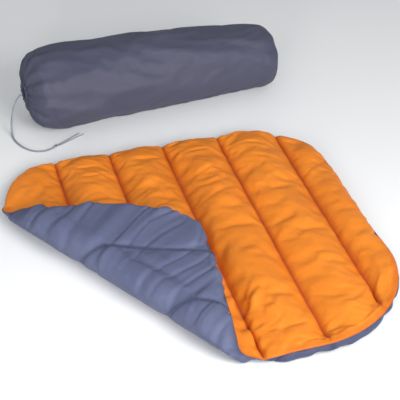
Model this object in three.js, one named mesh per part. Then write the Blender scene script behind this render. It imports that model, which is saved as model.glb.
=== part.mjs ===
import * as THREE from 'three';

/* Quilted channel blanket with one corner folded over, and its filled stuff sack.
   Millimetres, +Z up, Z = 0 is the floor. X runs across the channels, Y along them. */

// ---- blanket, laid open ----
const CHANNEL_WIDTHS = [160, 150, 150, 157, 161, 94]; // left to right
const LEFT_CHANNELS = 3;          // channels left of X = 0
const BACK_EDGE = 426;            // Y of the rear edge
const FRONT_EDGE = -468;          // Y of the front edge
const R_BACK_LEFT = 180;
const R_BACK_RIGHT = 213;
const R_FRONT_RIGHT = 285;
const R_FRONT_LEFT = 150;
const R_FRONT_BEND = 240;         // where the front edge turns into the drawn-in corner
const CORNER_START = 20;          // X where the front edge starts to draw in
const CORNER_SLOPE = 0.40;        // how fast it draws in, rise over run
const CREST = 44;                 // height of a channel's crest
const SEAM_Z = 12;                // height of the quilting line
const BELLY = 12;                 // how far the underside bulges below the quilting line
const EDGE_TAPER = 90;            // length over which the fill thins out to the edge
const COVER = 1.5;                // cover cloth
const GAP = 0.3;                  // clearance between pieces
const FILL_GAP = 2.5;             // clearance round the soft fill
const SEAM_FLAT = 2.5;            // half width of the flat quilting line
const STITCH_W = 1.6;
const STITCH_H = 1.2;

// ---- folded corner ----
const FOLD_X = -429;              // one point of the fold line
const FOLD_Y = 227;
const FOLD_END_X = -1.43;         // where the fold line reaches the line of the front edge
const BEND_STRIP = 50;            // width of quilt taken up by the bend
const HINGE_Z = CREST + 2;        // the bend turns level with the crests of the channels
const FOLD_ANGLE = 176;           // how far the corner is folded over at rest

// ---- stuff sack ----
const SACK_LENGTH = 763;
const SACK_R_MOUTH = 121;
const SACK_R_BASE = 104;
const SACK_X = -339;              // mouth end on the floor plan
const SACK_Y = 652;
const SACK_TURN = 5.9;            // degrees
const SACK_CLOTH = 1.5;
const NECK_R = 27;                // gathered neck
const BASE_ROUND = 26;
const SACK_SIDES = 24;
const HEM_R = 4.5;
const CORD_R = 1.5;
const CORD_PITCH = 3.5;           // centre to centre of the two strands

const DEG = Math.PI / 180;
const LEFT_EDGE = -CHANNEL_WIDTHS.slice(0, LEFT_CHANNELS).reduce((a, b) => a + b, 0);
const SEAMS = CHANNEL_WIDTHS.reduce((a, w) => { a.push(a[a.length - 1] + w); return a; }, [LEFT_EDGE]);
const RIGHT_EDGE = SEAMS[SEAMS.length - 1];

const ORIGIN_X = (SEAMS[LEFT_CHANNELS] + SEAMS[LEFT_CHANNELS + 1]) / 2; // the origin is under the crest of the first channel right of the middle seam

const group = new THREE.Group();
group.name = 'quilted_blanket_set';

const COLORS = {
  orange: [0.86, 0.40, 0.10], grey: [0.36, 0.38, 0.50], fill: [0.90, 0.89, 0.86], thread: [0.62, 0.20, 0.05],
  greythread: [0.22, 0.24, 0.33], sack: [0.33, 0.33, 0.42], roll: [0.85, 0.42, 0.12], cord: [0.45, 0.47, 0.52],
};
function add(name, geo, color) {
  const mat = new THREE.MeshStandardMaterial({ color: new THREE.Color(...COLORS[color]), roughness: 0.7 });
  mat.name = name + '_mat';
  const m = new THREE.Mesh(geo.translate(-ORIGIN_X, 0, 0), mat);
  m.name = name;
  group.add(m);
}

// ---- outline of the open blanket as front and rear curves over X ----
function filletPoly(pts) {
  const out = [];
  const n = pts.length;
  for (let i = 0; i < n; i++) {
    const [px, py] = pts[(i + n - 1) % n], [x, y, r] = pts[i], [qx, qy] = pts[(i + 1) % n];
    const a = [px - x, py - y], b = [qx - x, qy - y];
    const la = Math.hypot(...a), lb = Math.hypot(...b);
    a[0] /= la; a[1] /= la; b[0] /= lb; b[1] /= lb;
    const half = Math.acos(a[0] * b[0] + a[1] * b[1]) / 2;
    const t = Math.min(r / Math.tan(half), la * 0.48, lb * 0.48);
    const rr = t * Math.tan(half);
    const bis = [a[0] + b[0], a[1] + b[1]];
    const lm = Math.hypot(...bis), d = rr / Math.sin(half);
    const c = [x + bis[0] / lm * d, y + bis[1] / lm * d];
    const a0 = Math.atan2(y + a[1] * t - c[1], x + a[0] * t - c[0]);
    let a1 = Math.atan2(y + b[1] * t - c[1], x + b[0] * t - c[0]);
    while (a1 - a0 > Math.PI) a1 -= 2 * Math.PI;
    while (a1 - a0 < -Math.PI) a1 += 2 * Math.PI;
    for (let k = 0; k <= 40; k++) {
      const th = a0 + (a1 - a0) * k / 40;
      out.push([c[0] + rr * Math.cos(th), c[1] + rr * Math.sin(th)]);
    }
  }
  return out;
}
const cornerY = FRONT_EDGE + CORNER_SLOPE * (CORNER_START - LEFT_EDGE);
const OUTLINE = filletPoly([
  [LEFT_EDGE, BACK_EDGE, R_BACK_LEFT], [LEFT_EDGE, cornerY, R_FRONT_LEFT], [CORNER_START, FRONT_EDGE, R_FRONT_BEND],
  [RIGHT_EDGE, FRONT_EDGE, R_FRONT_RIGHT], [RIGHT_EDGE, BACK_EDGE, R_BACK_RIGHT],
]);
function crossings(x) {
  const xs = Math.min(Math.max(x, LEFT_EDGE + 1e-4), RIGHT_EDGE - 1e-4);
  let lo = Infinity, hi = -Infinity;
  for (let i = 0; i < OUTLINE.length; i++) {
    const [x0, y0] = OUTLINE[i], [x1, y1] = OUTLINE[(i + 1) % OUTLINE.length];
    if ((x0 - xs) * (x1 - xs) > 0 || x0 === x1) continue;
    const y = y0 + (y1 - y0) * (xs - x0) / (x1 - x0);
    lo = Math.min(lo, y); hi = Math.max(hi, y);
  }
  return [lo, hi];
}
const FOLD_DIR = Math.atan2(FRONT_EDGE - FOLD_Y, FOLD_END_X - FOLD_X);   // towards the front edge
const U = [Math.cos(FOLD_DIR), Math.sin(FOLD_DIR)];
const N = [-U[1], U[0]];                          // points into the part that stays down
const foldLine = (x, off) => FOLD_Y + off / N[1] - (x - FOLD_X) * N[0] / N[1];

// ---- height of the open blanket ----
function channelOf(x) {
  for (let i = 0; i < CHANNEL_WIDTHS.length; i++) if (x <= SEAMS[i + 1] + 1e-6) return i;
  return CHANNEL_WIDTHS.length - 1;
}
function xi(x) {
  const i = channelOf(x), mid = (SEAMS[i] + SEAMS[i + 1]) / 2, half = CHANNEL_WIDTHS[i] / 2 - SEAM_FLAT;
  return Math.min(1, Math.abs(x - mid) / half);
}
function taper(x, y) {
  const [lo, hi] = crossings(x);
  const d = Math.max(0, Math.min(y - lo, hi - y, EDGE_TAPER));
  const k = 1 - d / EDGE_TAPER;
  return Math.sqrt(1 - k * k);
}
function zTop(x, y) {
  const s = Math.pow(1 - xi(x) ** 2, 0.55);
  return SEAM_Z + GAP / 2 + COVER + (CREST - SEAM_Z - COVER - GAP / 2) * s * taper(x, y);
}
function zBot(x, y) {
  const s = Math.min(1, 1.3 * Math.pow(1 - xi(x) ** 2, 0.6));
  return SEAM_Z - GAP / 2 - COVER - (BELLY - GAP / 2 - COVER) * s * Math.min(1, 1.25 * taper(x, y));
}

// ---- a solid between two height fields on the same columns ----
function slab(cols, top, bot) {
  const pos = [], idx = [], m = cols[0].ys.length, n = cols.length;
  for (const side of [top, bot]) for (const c of cols) for (const y of c.ys) pos.push(c.x, y, side(c.x, y));
  const T = (i, j) => i * m + j, B = (i, j) => n * m + i * m + j;
  const quad = (a, b, c, d) => idx.push(a, b, c, a, c, d);
  for (let i = 0; i < n - 1; i++) for (let j = 0; j < m - 1; j++) {
    quad(T(i, j), T(i + 1, j), T(i + 1, j + 1), T(i, j + 1));
    quad(B(i, j), B(i, j + 1), B(i + 1, j + 1), B(i + 1, j));
  }
  for (let i = 0; i < n - 1; i++) {
    quad(T(i, 0), B(i, 0), B(i + 1, 0), T(i + 1, 0));
    quad(T(i + 1, m - 1), B(i + 1, m - 1), B(i, m - 1), T(i, m - 1));
  }
  for (let j = 0; j < m - 1; j++) {
    quad(T(0, j + 1), B(0, j + 1), B(0, j), T(0, j));
    quad(T(n - 1, j), B(n - 1, j), B(n - 1, j + 1), T(n - 1, j + 1));
  }
  const g = new THREE.BufferGeometry();
  g.setAttribute('position', new THREE.Float32BufferAttribute(pos, 3));
  g.setIndex(idx);
  return g;
}
function rows(lo, hi, middle) {
  const L = hi - lo, f = Math.min(1, L / 220), ends = [0, 10, 34, 78].map(d => d * f);
  const out = ends.map(d => lo + d);
  for (let k = 1; k < middle; k++) out.push(lo + ends[3] + (L - 2 * ends[3]) * k / middle);
  for (let k = 3; k >= 0; k--) out.push(hi - ends[k]);
  return out;
}
const SAMPLES = [-1, -0.8, -0.42, 0.42, 0.8, 1];
function columnXs(i, from, to) {
  const mid = (SEAMS[i] + SEAMS[i + 1]) / 2, half = CHANNEL_WIDTHS[i] / 2 - SEAM_FLAT;
  return SAMPLES.map(s => mid + s * half).filter(x => x > from + 1 && x < to - 1);
}

// Each region gives its low and high Y at X; the cut faces keep half a gap.
const cut = GAP / 2;
const REGIONS = {
  main: { fills: [0, 1, 2, 3], from: LEFT_EDGE, to: SEAMS[4] - cut, middle: 4, low: x => Math.max(crossings(x)[0], foldLine(x, cut)), high: x => crossings(x)[1] },
  corner: { fills: [0, 1], from: LEFT_EDGE, to: 1e9, middle: 3, low: x => crossings(x)[0], high: x => foldLine(x, -cut - BEND_STRIP) },
  inner_wing: { fills: [4], from: SEAMS[4] + cut, to: SEAMS[5] - cut, middle: 4, low: x => crossings(x)[0], high: x => crossings(x)[1] },
  outer_wing: { fills: [5], from: SEAMS[5] + cut, to: RIGHT_EDGE, middle: 4, low: x => crossings(x)[0], high: x => crossings(x)[1] },
};
let cornerEnd = LEFT_EDGE;        // the corner ends where the fold runs off the front edge
while (REGIONS.corner.high(cornerEnd) - REGIONS.corner.low(cornerEnd) > 6) cornerEnd += 0.5;
REGIONS.corner.to = cornerEnd;
function clip(region, x, inset) {
  const [lo, hi] = crossings(x);
  return [Math.max(region.low(x), lo + inset), Math.min(region.high(x), hi - inset)];
}
function coverColumns(region) {
  const xs = [region.from];
  for (let i = 0; i < CHANNEL_WIDTHS.length; i++) xs.push(...columnXs(i, region.from, region.to));
  xs.push(region.to);
  return xs.map(x => { const [a, b] = clip(region, x, 0); return { x, ys: rows(a, b, region.middle) }; });
}
function fillColumns(region, i) {
  if (!region.fills.includes(i)) return [];
  const mid = (SEAMS[i] + SEAMS[i + 1]) / 2, half = CHANNEL_WIDTHS[i] / 2 - SEAM_FLAT;
  const cols = SAMPLES.slice(1, -1).map(s => mid + s * half).filter(x => x > region.from + 1 && x < region.to - 1);
  return cols.map(x => { const [lo, hi] = clip(region, x, 14); return { x, ys: hi - lo > 24 ? rows(lo + 1, hi - 1, region.middle) : null }; }).filter(c => c.ys);
}

// ---- placing a region at rest ----
const identity = new THREE.Matrix4();
const HALF = BEND_STRIP / 2;
const AXIS = [FOLD_X - N[0] * HALF, FOLD_Y - N[1] * HALF, HINGE_Z];
const folded = new THREE.Matrix4().makeTranslation(...AXIS)
  .multiply(new THREE.Matrix4().makeRotationAxis(new THREE.Vector3(-U[0], -U[1], 0), FOLD_ANGLE * DEG))
  .multiply(new THREE.Matrix4().makeTranslation(-AXIS[0], -AXIS[1], -AXIS[2]));
const PLACE = { main: identity, corner: folded, inner_wing: identity, outer_wing: identity };

for (const [key, region] of Object.entries(REGIONS)) {
  const cols = coverColumns(region), M = PLACE[key];
  add(`${key}_top_cover`, slab(cols, zTop, (x, y) => zTop(x, y) - COVER).applyMatrix4(M), 'orange');
  add(`${key}_under_cover`, slab(cols, (x, y) => zBot(x, y) + COVER, zBot).applyMatrix4(M), 'grey');
  for (let i = 0; i < CHANNEL_WIDTHS.length; i++) {
    const fc = fillColumns(region, i);
    if (fc.length < 2) continue;
    add(`${key}_fill_${i + 1}`, slab(fc, (x, y) => zTop(x, y) - COVER - FILL_GAP, (x, y) => zBot(x, y) + COVER + FILL_GAP).applyMatrix4(M), 'fill');
  }
}

// ---- quilting stitches, one line per seam, on the face that shows ----
function stitch(name, region, x0, under, color) {
  const w = STITCH_W / 2, [a, b] = clip(region, x0, 4);
  const n = Math.max(2, Math.round((b - a) / 90));
  const ys = Array.from({ length: n + 1 }, (_, k) => a + 2 + (b - a - 4) * k / n);
  const cols = [x0 - w, x0 + w].map(x => ({ x, ys }));
  const z0 = under ? SEAM_Z - GAP / 2 - COVER - GAP - STITCH_H : SEAM_Z + GAP / 2 + COVER + GAP;
  return slab(cols, () => z0 + STITCH_H, () => z0);
}
for (let k = 1; k <= 3; k++) add(`main_stitch_${k}`, stitch('', REGIONS.main, SEAMS[k], false), 'thread');
add('main_stitch_4', stitch('', REGIONS.main, SEAMS[4] - cut - STITCH_W / 2, false), 'thread');
add('inner_wing_stitch_5', stitch('', REGIONS.inner_wing, SEAMS[5] - cut - STITCH_W / 2, false), 'thread');
for (let k = 1; k <= 2; k++) add(`corner_stitch_${k}`, stitch('', REGIONS.corner, SEAMS[k], true).applyMatrix4(folded), 'greythread');

// ---- the bend: under cloth round the outside, face cloth tucked inside ----
function lineEnds(off) {                          // where the line at this offset enters and leaves the outline, along U
  const hits = [];
  for (let i = 0; i < OUTLINE.length; i++) {
    const P = OUTLINE[i], Q = OUTLINE[(i + 1) % OUTLINE.length];
    const a = (P[0] - FOLD_X) * N[0] + (P[1] - FOLD_Y) * N[1] - off, b = (Q[0] - FOLD_X) * N[0] + (Q[1] - FOLD_Y) * N[1] - off;
    if (a * b > 0 || a === b) continue;
    const t = a / (a - b);
    hits.push((P[0] + (Q[0] - P[0]) * t - FOLD_X) * U[0] + (P[1] + (Q[1] - P[1]) * t - FOLD_Y) * U[1]);
  }
  return [Math.min(...hits), Math.max(...hits)];
}
function bendShell(under) {
  const S = 9, pos = [], idx = [];
  const probe = [];                               // stations along the fold: the seams it crosses, and between them
  const [e0, e1] = lineEnds(-HALF);
  const seamU = x => (x - FOLD_X + N[0] * HALF) / U[0];
  for (let i = 0; i < CHANNEL_WIDTHS.length; i++) for (const x of [...columnXs(i, -1e9, 1e9)]) {
    const t = (seamU(x) - e0) / (e1 - e0);
    if (t > 0.012 && t < 0.988) probe.push(t);
  }
  const ts = [0, 0.006, ...probe, 0.994, 1];
  const m = ts.length;
  for (const skin of [0, 1]) for (let k = 0; k < S; k++) {
    const s = cut + (BEND_STRIP - 2 * cut) * k / (S - 1), [u0, u1] = lineEnds(-s), f = Math.PI * s / BEND_STRIP;
    for (const t of ts) {
      const u = u0 + 1 + (u1 - u0 - 2) * t;
      const x = FOLD_X + U[0] * u - N[0] * s, y = FOLD_Y + U[1] * u - N[1] * s;
      const h0 = HINGE_Z - (under ? zBot(x, y) : zTop(x, y));
      const h = under ? h0 - skin * COVER : h0 + skin * COVER;
      const edge = HINGE_Z - SEAM_Z - 2.6 * COVER;
      const out = under ? h : HALF + (h0 - (HINGE_Z - CREST)) * (edge - HALF) / (CREST - SEAM_Z) + skin * COVER;
      const th = FOLD_ANGLE * DEG, ex = HALF + HALF * Math.cos(th) + h * Math.sin(th), ez = HALF * Math.sin(th) - h * Math.cos(th);
      const w = f / Math.PI, dx = w * ex, dz = w * (ez - h);
      const o = out * Math.sin(f) + dx, z = HINGE_Z - h * Math.cos(f) + dz;
      pos.push(FOLD_X + U[0] * u - N[0] * o, FOLD_Y + U[1] * u - N[1] * o, z);
    }
  }
  const at = (skin, k, j) => (skin * S + k) * m + j;
  const quad = (a, b, c, d) => under ? idx.push(c, b, a, d, c, a) : idx.push(a, b, c, a, c, d);
  for (let k = 0; k < S - 1; k++) for (let j = 0; j < m - 1; j++) {
    quad(at(0, k, j), at(0, k + 1, j), at(0, k + 1, j + 1), at(0, k, j + 1));
    quad(at(1, k, j), at(1, k, j + 1), at(1, k + 1, j + 1), at(1, k + 1, j));
  }
  for (let k = 0; k < S - 1; k++) {
    quad(at(0, k, 0), at(1, k, 0), at(1, k + 1, 0), at(0, k + 1, 0));
    quad(at(0, k + 1, m - 1), at(1, k + 1, m - 1), at(1, k, m - 1), at(0, k, m - 1));
  }
  for (let j = 0; j < m - 1; j++) {
    quad(at(0, 0, j + 1), at(1, 0, j + 1), at(1, 0, j), at(0, 0, j));
    quad(at(0, S - 1, j), at(1, S - 1, j), at(1, S - 1, j + 1), at(0, S - 1, j + 1));
  }
  const g = new THREE.BufferGeometry();
  g.setAttribute('position', new THREE.Float32BufferAttribute(pos, 3));
  g.setIndex(idx);
  return g;
}
add('bend_under_cover', bendShell(true), 'grey');
add('bend_top_cover', bendShell(false), 'orange');

// ---- stuff sack, built along +X from the mouth and laid on the floor ----
const taperK = (SACK_R_BASE - SACK_R_MOUTH) / SACK_LENGTH;
const sackR = x => SACK_R_MOUTH + taperK * x;
function arc(cx, cr, r, a0, a1, n) {
  return Array.from({ length: n + 1 }, (_, k) => { const t = (a0 + (a1 - a0) * k / n) * DEG; return [cx + r * Math.cos(t), cr + r * Math.sin(t)]; });
}
const shoulder = SACK_R_MOUTH - NECK_R - 8;
function sackProfile(inset) {                     // mouth to base, [x, radius]
  const out = [[6 + inset * 0.4, NECK_R - inset]];
  for (const [a, r] of [[14, 0.42], [26, 0.66], [44, 0.83], [70, 0.945], [104, 1]]) out.push([a + inset * 0.6, NECK_R + (sackR(a) - NECK_R) * r - inset * (0.55 + 0.45 * r)]);
  for (const f of [0.3, 0.5, 0.7, 0.88]) out.push([SACK_LENGTH * f, sackR(SACK_LENGTH * f) - inset]);
  return out;
}
function lathe(profile) {                         // closed loop of [x, radius]
  const g = new THREE.LatheGeometry(profile.map(([x, r]) => new THREE.Vector2(Math.max(r, 0), x)), SACK_SIDES, Math.PI / SACK_SIDES);
  g.rotateZ(-Math.PI / 2);
  const p = g.attributes.position;
  for (let i = 0; i < p.count; i++) p.setZ(i, p.getZ(i) + sackR(p.getX(i)) * Math.cos(Math.PI / SACK_SIDES));
  return g;
}
const sackPlace = new THREE.Matrix4().makeTranslation(SACK_X, SACK_Y, 0).multiply(new THREE.Matrix4().makeRotationZ(SACK_TURN * DEG));
const endR = sackR(SACK_LENGTH);
const outer = [...sackProfile(0), ...arc(SACK_LENGTH - BASE_ROUND, endR - BASE_ROUND, BASE_ROUND, 88, 8, 5)];
const inner = [...sackProfile(SACK_CLOTH), ...arc(SACK_LENGTH - BASE_ROUND, endR - BASE_ROUND, BASE_ROUND - SACK_CLOTH, 88, 8, 5)];
add('sack_tube', lathe([...outer, ...inner.slice().reverse(), outer[0]]).applyMatrix4(sackPlace), 'sack');
const baseR = endR - BASE_ROUND - 1;
add('sack_base', lathe([[SACK_LENGTH - SACK_CLOTH, 0], [SACK_LENGTH - SACK_CLOTH, baseR], [SACK_LENGTH, baseR], [SACK_LENGTH, 0]]).applyMatrix4(sackPlace), 'sack');
const rollIn = SACK_CLOTH + GAP + 0.7;
const roll = [[32, 0], [32, 40], ...sackProfile(rollIn).slice(3), ...arc(SACK_LENGTH - BASE_ROUND, endR - BASE_ROUND, BASE_ROUND - rollIn, 88, 2, 5)];
roll.push([roll[roll.length - 1][0], 0]);
add('packed_roll', lathe(roll).applyMatrix4(sackPlace), 'roll');

const hem = new THREE.TorusGeometry(NECK_R - 2, HEM_R, 8, 24);
hem.rotateY(Math.PI / 2);
hem.translate(-1.2 - HEM_R + 6, 0, sackR(0) * Math.cos(Math.PI / SACK_SIDES));
hem.translate(-0.6, 0, 0);
add('sack_hem', hem.applyMatrix4(sackPlace), 'sack');

// ---- drawcord: two strands out of the mouth, a knot, two tails ----
const neckZ = sackR(0) * Math.cos(Math.PI / SACK_SIDES);
const V = (x, y, z) => new THREE.Vector3(x, y, z);
const mouth = V(SACK_X, SACK_Y, neckZ).add(V(-8, -2, -4));
const CORD_LINE = new THREE.CatmullRomCurve3([
  mouth, V(SACK_X - 20, SACK_Y - 4, neckZ - 16), V(SACK_X - 34, SACK_Y - 6, neckZ - 44), V(SACK_X - 42, SACK_Y - 8, neckZ - 78),
  V(SACK_X - 46, SACK_Y - 16, 12), V(SACK_X - 47, SACK_Y - 32, CORD_R + 0.4), V(SACK_X - 42, SACK_Y - 62, CORD_R + 0.2),
  V(SACK_X - 27, SACK_Y - 96, CORD_R + 0.2), V(SACK_X - 5, SACK_Y - 121, CORD_R + 0.2), V(SACK_X + 18, SACK_Y - 130, CORD_R + 0.2),
  V(SACK_X + 40, SACK_Y - 128, CORD_R + 0.2), V(SACK_X + 56, SACK_Y - 120, CORD_R + 0.2),
], false, 'centripetal');
function strand(side, t0, t1, n) {
  const pts = [];
  for (let k = 0; k <= n; k++) {
    const t = t0 + (t1 - t0) * k / n, p = CORD_LINE.getPointAt(t), d = CORD_LINE.getTangentAt(t);
    const s = V(-d.y, d.x, 0).normalize().multiplyScalar(side * CORD_PITCH / 2);
    pts.push(p.add(s));
  }
  return new THREE.CatmullRomCurve3(pts);
}
function tube(curve, steps) {
  const shape = new THREE.Shape();
  for (let k = 0; k < 8; k++) {
    const a = k * Math.PI / 4;
    k ? shape.lineTo(CORD_R * Math.cos(a), CORD_R * Math.sin(a)) : shape.moveTo(CORD_R, 0);
  }
  return new THREE.ExtrudeGeometry(shape, { steps, extrudePath: curve, bevelEnabled: false, curveSegments: 1 });
}
add('drawcord_strand_1', tube(strand(1, 0, 1, 34), 44), 'cord');
add('drawcord_strand_2', tube(strand(-1, 0, 1, 34), 44), 'cord');
const end = CORD_LINE.getPointAt(1), dir = CORD_LINE.getTangentAt(1);
const KNOT_R = 4.6;
const knotAt = end.clone().add(dir.clone().multiplyScalar(KNOT_R * 1.25 + 0.5)).setZ(KNOT_R * 0.9 + 0.1);
const knot = new THREE.SphereGeometry(KNOT_R, 12, 8);
knot.scale(1.25, 1.05, 0.9);
knot.rotateZ(Math.atan2(dir.y, dir.x));
knot.translate(knotAt.x, knotAt.y, knotAt.z);
add('drawcord_knot', knot, 'cord');
for (const s of [1, -1]) {
  const side = V(-dir.y, dir.x, 0), p0 = knotAt.clone().add(dir.clone().multiplyScalar(KNOT_R * 1.25 + 0.6)).add(side.clone().multiplyScalar(s * CORD_PITCH / 2));
  const at = (a, b, z) => p0.clone().add(dir.clone().multiplyScalar(a)).add(side.clone().multiplyScalar(s * b)).setZ(z);
  const c = new THREE.CatmullRomCurve3([at(0, 0, 3), at(8, 0.6, CORD_R + 0.3), at(30, 1.6, CORD_R + 0.2), at(52, 2.6, CORD_R + 0.2), at(s > 0 ? 84 : 90, 4.2, CORD_R + 0.2)]);
  add(`drawcord_tail_${s > 0 ? 1 : 2}`, tube(c, 12), 'cord');
}

export default group;
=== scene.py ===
"""A channel-quilted blanket lying open with one corner folded over, and its filled drawcord stuff sack.
Lengths are in metres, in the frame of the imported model: +X across the channels, +Y along them, +Z up."""
import math

import bmesh
import bpy
import numpy as np
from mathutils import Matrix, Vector


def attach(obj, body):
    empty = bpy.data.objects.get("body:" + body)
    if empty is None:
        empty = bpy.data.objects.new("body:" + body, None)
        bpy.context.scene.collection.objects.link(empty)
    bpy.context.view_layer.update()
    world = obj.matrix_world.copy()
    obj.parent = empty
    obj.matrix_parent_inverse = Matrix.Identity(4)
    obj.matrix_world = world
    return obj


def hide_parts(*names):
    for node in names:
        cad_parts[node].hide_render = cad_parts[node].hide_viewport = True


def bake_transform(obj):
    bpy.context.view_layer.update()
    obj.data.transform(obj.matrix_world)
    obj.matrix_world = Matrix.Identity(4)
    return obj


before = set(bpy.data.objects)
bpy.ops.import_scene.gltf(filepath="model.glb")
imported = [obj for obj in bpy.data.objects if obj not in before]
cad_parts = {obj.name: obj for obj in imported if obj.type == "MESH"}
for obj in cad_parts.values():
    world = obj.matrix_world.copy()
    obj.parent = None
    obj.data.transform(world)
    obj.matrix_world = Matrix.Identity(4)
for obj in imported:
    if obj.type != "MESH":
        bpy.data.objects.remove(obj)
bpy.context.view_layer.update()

# ---------------------------------------------------------------- sizes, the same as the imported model's
SHIFT = -0.0785                                   # the model's origin is on the crest right of the middle seam
WIDTHS = [0.160, 0.150, 0.150, 0.157, 0.161, 0.094]
SEAMS = [-0.460 + SHIFT]
for w in WIDTHS:
    SEAMS.append(SEAMS[-1] + w)
LEFT, RIGHT = SEAMS[0], SEAMS[-1]
BACK, FRONT = 0.426, -0.468
CORNER_START, CORNER_SLOPE = 0.020 + SHIFT, 0.40
CREST, SEAM_Z, EDGE_Z = 0.044, 0.012, 0.026
FOLD = (-0.429 + SHIFT, 0.227)
FOLD_DIR = math.radians(-58.4)
STRIP = 0.050                                     # quilt taken up by the bend
HINGE_Z = 0.046
U = np.array([math.cos(FOLD_DIR), math.sin(FOLD_DIR)])
N = np.array([-U[1], U[0]])
SACK_AT, SACK_TURN = (-0.339 + SHIFT, 0.652), math.radians(5.9)
SACK_LENGTH, R_MOUTH, R_BASE, NECK_R, BASE_ROUND = 0.755, 0.121, 0.104, 0.027, 0.044
SACK_MEAN_R = 0.115                               # for laying the sack's cloth out flat
SACK_SEAT = math.cos(math.pi / 24)                # height of the sack's axis over its radius, on 24 flat sides
WING_BAND = 0.024                                 # half the width of quilt that turns with each wing's fold


# ---------------------------------------------------------------- camera
def make_camera():
    azimuth, elevation, distance = math.radians(-16.18), math.radians(35.74), 3.098
    target = Vector((-0.0402, 0.1793, 0))
    level = math.cos(elevation)
    away = Vector((math.sin(azimuth) * level, -math.cos(azimuth) * level, math.sin(elevation)))
    cam = bpy.data.objects.new("camera", bpy.data.cameras.new("camera"))
    cam.data.lens, cam.data.sensor_width = 106.4, 36
    cam.location = target + away * distance
    cam.rotation_euler = (-away).to_track_quat("-Z", "Y").to_euler()
    bpy.context.scene.collection.objects.link(cam)
    bpy.context.scene.camera = cam


make_camera()


# ---------------------------------------------------------------- helpers
def smooth(t):
    t = np.clip(t, 0, 1)
    return t * t * (3 - 2 * t)


def noise(x, y, seed=0):
    """Smooth value noise from -1 to 1, the same on every run."""
    xi, yi = np.floor(x).astype(np.int64), np.floor(y).astype(np.int64)
    fx, fy = x - xi, y - yi
    u, v = fx ** 3 * (fx * (fx * 6 - 15) + 10), fy ** 3 * (fy * (fy * 6 - 15) + 10)

    def h(i, j):
        n = (i * 374761393 + j * 668265263 + seed * 974711) & 0x7FFFFFFF
        n = ((n ^ (n >> 13)) * 1274126177) & 0x7FFFFFFF
        return ((n ^ (n >> 16)) & 0xFFFF) / 32767.5 - 1

    a = h(xi, yi) * (1 - u) + h(xi + 1, yi) * u
    b = h(xi, yi + 1) * (1 - u) + h(xi + 1, yi + 1) * u
    return a * (1 - v) + b * v


def ridged(x, y, seed=0):
    """Narrow creases: 0 between them, 1 along them."""
    return np.clip(1 - np.abs(noise(x, y, seed)) * 3.2, 0, 1) ** 1.5


def new_object(name, mesh):
    ob = bpy.data.objects.new(name, mesh)
    bpy.context.scene.collection.objects.link(ob)
    return ob


def mesh_from(name, verts, faces):
    me = bpy.data.meshes.new(name)
    verts = [tuple(v) for v in np.asarray(verts, float)]
    me.from_pydata(verts, [], [tuple(int(i) for i in f) for f in faces])
    me.validate()
    me.update()
    return me


def get_co(me):
    co = np.empty(len(me.vertices) * 3)
    me.vertices.foreach_get("co", co)
    return co.reshape(-1, 3)


def set_co(me, co):
    me.vertices.foreach_set("co", np.ascontiguousarray(co, float).ravel())
    me.update()


def get_no(me):
    no = np.empty(len(me.vertices) * 3)
    me.vertex_normals.foreach_get("vector", no)
    return no.reshape(-1, 3)


def apply_modifiers(ob):
    dg = bpy.context.evaluated_depsgraph_get()
    me = bpy.data.meshes.new_from_object(ob.evaluated_get(dg), preserve_all_data_layers=True, depsgraph=dg)
    ob.modifiers.clear()
    ob.data = me


def subdivide(ob):
    m = ob.modifiers.new("subdivision", "SUBSURF")
    m.levels = m.render_levels = 1
    apply_modifiers(ob)


def shade_smooth(me):
    me.polygons.foreach_set("use_smooth", np.ones(len(me.polygons), bool))
    me.update()


def turn_outward(me):
    bm = bmesh.new()
    bm.from_mesh(me)
    bmesh.ops.remove_doubles(bm, verts=bm.verts[:], dist=0.00001)
    bmesh.ops.recalc_face_normals(bm, faces=bm.faces[:])
    bm.to_mesh(me)
    bm.free()


def loop_vertices(me):
    loops = np.empty(len(me.loops), np.int32)
    me.loops.foreach_get("vertex_index", loops)
    return loops


def set_uv(me, values):
    """values: one pair for each corner of each face."""
    me.uv_layers.new(name="flat").data.foreach_set("uv", np.ascontiguousarray(values).ravel())


def set_attribute(me, name, values, domain="POINT"):
    kind, field = ("FLOAT_VECTOR", "vector") if np.ndim(values) == 2 else ("FLOAT", "value")
    me.attributes.new(name, kind, domain).data.foreach_set(field, np.asarray(values, np.float32).ravel())


def run_cloth(ob, pins, pressure, slack, frames, bending=0.3):
    """Cloth with pinned seams. Its length at rest is a little more than the seams leave it, so it puckers."""
    group = ob.vertex_groups.new(name="pins")
    group.add([int(i) for i in pins], 1.0, "REPLACE")
    mod = ob.modifiers.new("cloth", "CLOTH")
    s = mod.settings
    s.quality = 6
    s.mass = 0.15
    s.tension_stiffness = s.compression_stiffness = 15
    s.shear_stiffness = 5
    s.bending_stiffness = bending
    s.tension_damping = s.compression_damping = s.shear_damping = 10
    s.air_damping = 3
    s.use_pressure = True
    s.uniform_pressure_force = pressure
    s.shrink_min = -slack
    s.vertex_group_mass = "pins"
    s.effector_weights.gravity = 0
    mod.collision_settings.use_collision = False
    mod.point_cache.frame_start, mod.point_cache.frame_end = 1, frames
    scene = bpy.context.scene
    for f in range(1, frames + 1):
        scene.frame_set(f)
    apply_modifiers(ob)
    ob.vertex_groups.clear()
    scene.frame_set(1)


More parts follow.
